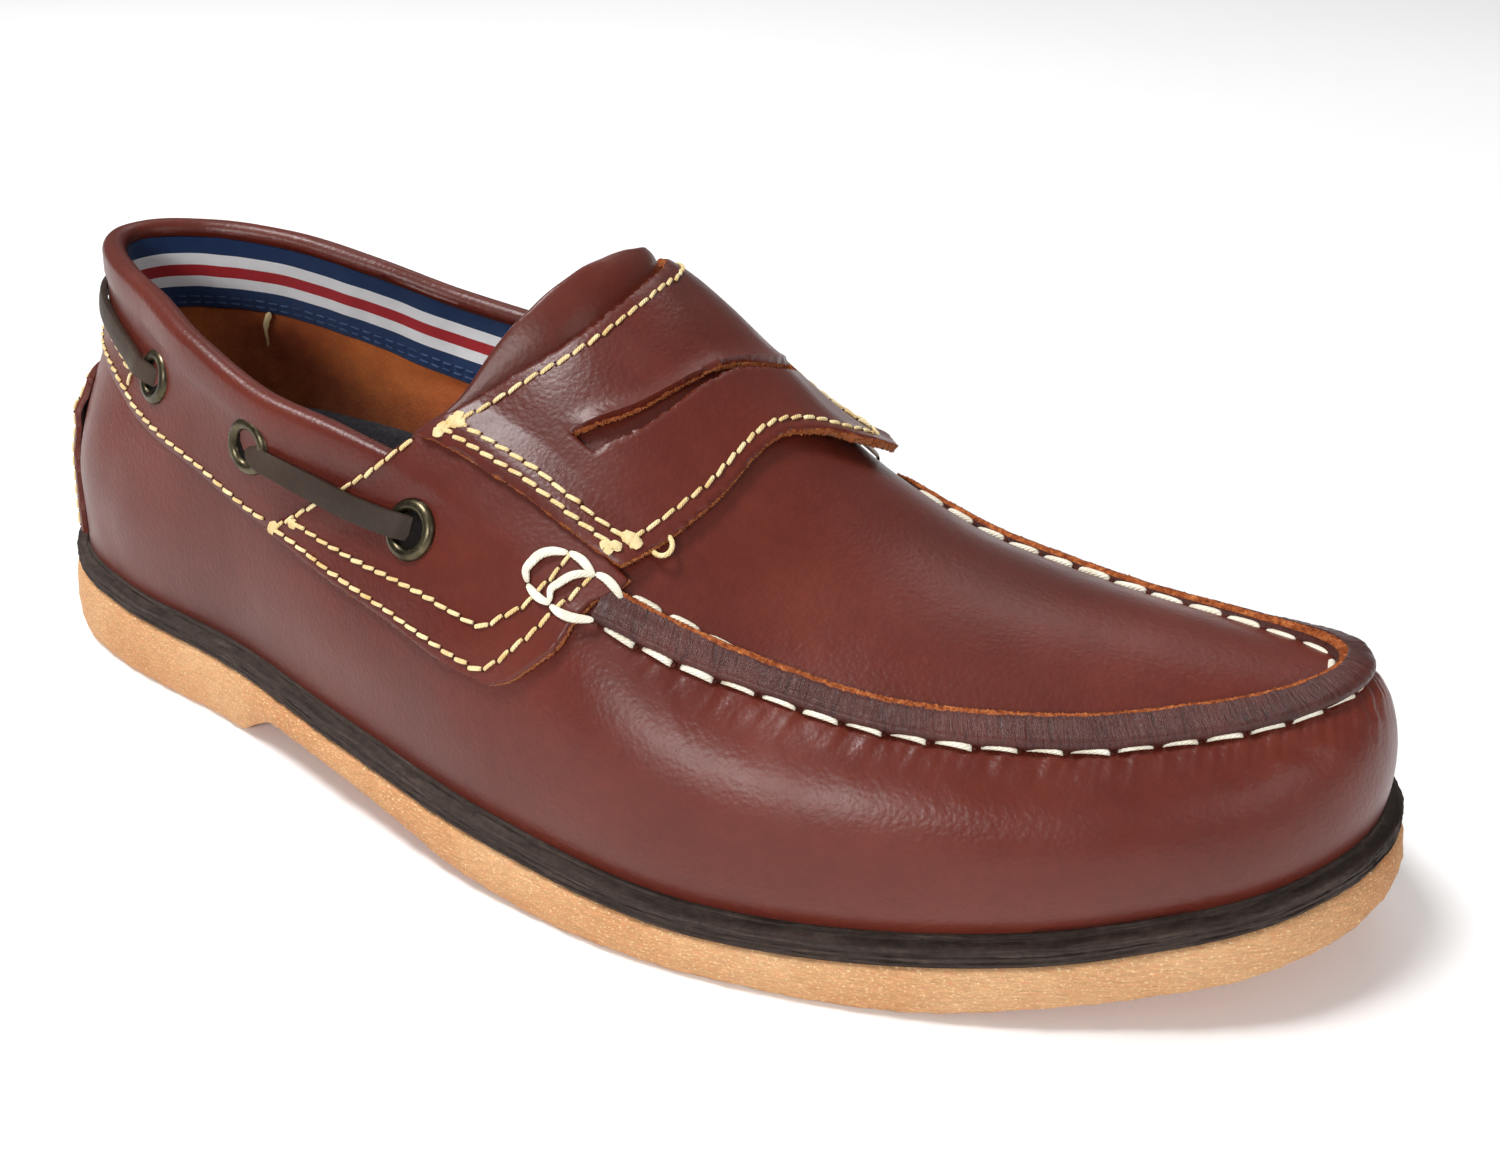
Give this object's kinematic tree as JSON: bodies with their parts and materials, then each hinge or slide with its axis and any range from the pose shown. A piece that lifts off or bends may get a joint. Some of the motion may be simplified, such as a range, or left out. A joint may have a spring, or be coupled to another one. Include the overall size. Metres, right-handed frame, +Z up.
{
  "type": "boat shoe",
  "caption": "Right boat shoe with a moccasin apron, a slotted saddle strap, side laces through eyelets and a low heeled rubber sole.",
  "frame": {"origin": "centre of the base on the floor plane, midway along the length and the width", "axes": "+X to the toe, +Y to the wearer's left, which is the medial side, +Z up"},
  "size_m": [0.303, 0.1162, 0.1066],
  "materials": {
    "outsole_rubber": "sanded honey-tan crepe",
    "midsole_rubber": "sanded dark brown",
    "insole_lining": "matt",
    "upper_leather": "smooth semi-gloss oxblood",
    "roll_leather": "gathered semi-gloss oxblood",
    "aged_brass": "antique dark",
    "lace_leather": "dark brown waxed"
  },
  "bodies": {
    "root": {"outsole": "outsole_rubber", "midsole": "midsole_rubber", "insole": "insole_lining", "upper": "upper_leather", "tongue": "upper_leather", "saddle_strap": "upper_leather", "saddle_panel_lateral": "upper_leather", "saddle_panel_medial": "upper_leather", "apron_roll": "roll_leather", "heel_kicker": "upper_leather", "eyelet_lateral_rear": "aged_brass", "eyelet_lateral_mid": "aged_brass", "eyelet_lateral_front": "aged_brass", "lace_lateral": "lace_leather", "eyelet_medial_rear": "aged_brass", "eyelet_medial_mid": "aged_brass", "eyelet_medial_front": "aged_brass", "lace_medial": "lace_leather", "lace_heel": "lace_leather"}
  },
  "joints": []
}
